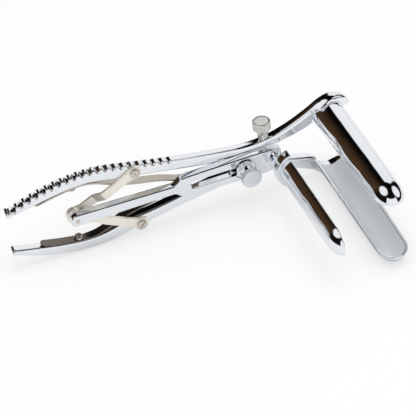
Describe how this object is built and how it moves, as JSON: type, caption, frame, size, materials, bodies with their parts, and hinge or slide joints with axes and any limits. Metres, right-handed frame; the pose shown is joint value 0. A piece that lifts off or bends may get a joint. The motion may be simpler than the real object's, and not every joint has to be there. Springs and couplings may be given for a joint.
{
  "type": "three-blade anal speculum",
  "caption": "Three-blade anal speculum: two sprung handles spread the upper and lower blade while a toggle draws the third blade back on a slotted slide.",
  "frame": {"origin": "middle of the base, under the middle of the bounding box, the instrument lying on its lower lever", "axes": "+X from the handles to the blades, -Y the way the blades point, +Z the way the upper blade spreads"},
  "size_m": [0.2102, 0.1063, 0.0538],
  "materials": {
    "chromed_steel": "mirror polished stainless steel",
    "satin_steel": "satin stainless steel"
  },
  "bodies": {
    "lever_b": {"lever_b": "chromed_steel", "blade_b": "chromed_steel", "leaf_spring_b": "satin_steel", "leaf_screw_b": "satin_steel"},
    "lever_a": {"lever_a": "chromed_steel", "blade_a": "chromed_steel", "leaf_spring_a": "satin_steel", "leaf_screw_a": "satin_steel"},
    "pivot": {"pivot_stud": "satin_steel", "clamp_washer": "satin_steel"},
    "clamp": {"clamp_knob": "satin_steel"},
    "slide": {"slide": "chromed_steel", "blade_c": "chromed_steel", "rear_pin": "satin_steel"},
    "link_a": {"link_a": "satin_steel", "link_screw_a": "satin_steel"},
    "link_b": {"link_b": "satin_steel", "link_screw_b": "satin_steel"},
    "set_screw": {"set_screw": "satin_steel"}
  },
  "joints": [
    {"name": "lever_hinge", "type": "hinge", "parent": "lever_b", "child": "lever_a", "pos_m": [0.03546, 0.045, 0.0269], "axis": [0, 1, 0], "range_deg": [0, 26.4]},
    {"name": "pivot_turn", "type": "hinge", "parent": "lever_b", "child": "pivot", "pos_m": [0.03546, 0.045, 0.0269], "axis": [0, 1, 0], "range_deg": [0, 13.2]},
    {"name": "slide_travel", "type": "slide", "parent": "pivot", "child": "slide", "axis": [1, 0, 0], "range_m": [0, 0.01821]},
    {"name": "link_a_turn", "type": "hinge", "parent": "slide", "child": "link_a", "pos_m": [-0.06634, 0.045, 0.0269], "axis": [0, 1, 0], "range_deg": [-25.76, 0]},
    {"name": "link_b_turn", "type": "hinge", "parent": "slide", "child": "link_b", "pos_m": [-0.06634, 0.045, 0.0269], "axis": [0, 1, 0], "range_deg": [0, 25.76]},
    {"name": "clamp_turn", "type": "hinge", "parent": "pivot", "child": "clamp", "pos_m": [0.03546, 0.045, 0.0269], "axis": [0, -1, 0], "range_deg": [0, 360]},
    {"name": "set_screw_turn", "type": "hinge", "parent": "lever_a", "child": "set_screw", "pos_m": [0.05046, 0.0485, 0.0269], "axis": [0, 0, 1], "range_deg": [0, 360]}
  ],
  "couplings": [
    {"joint": "pivot_turn", "follows": "lever_hinge", "ratio": 0.5},
    {"joint": "slide_travel", "follows": "lever_hinge", "m_per_rad": 0.039514},
    {"joint": "link_a_turn", "follows": "lever_hinge", "ratio": -0.97586},
    {"joint": "link_b_turn", "follows": "lever_hinge", "ratio": 0.97586}
  ]
}
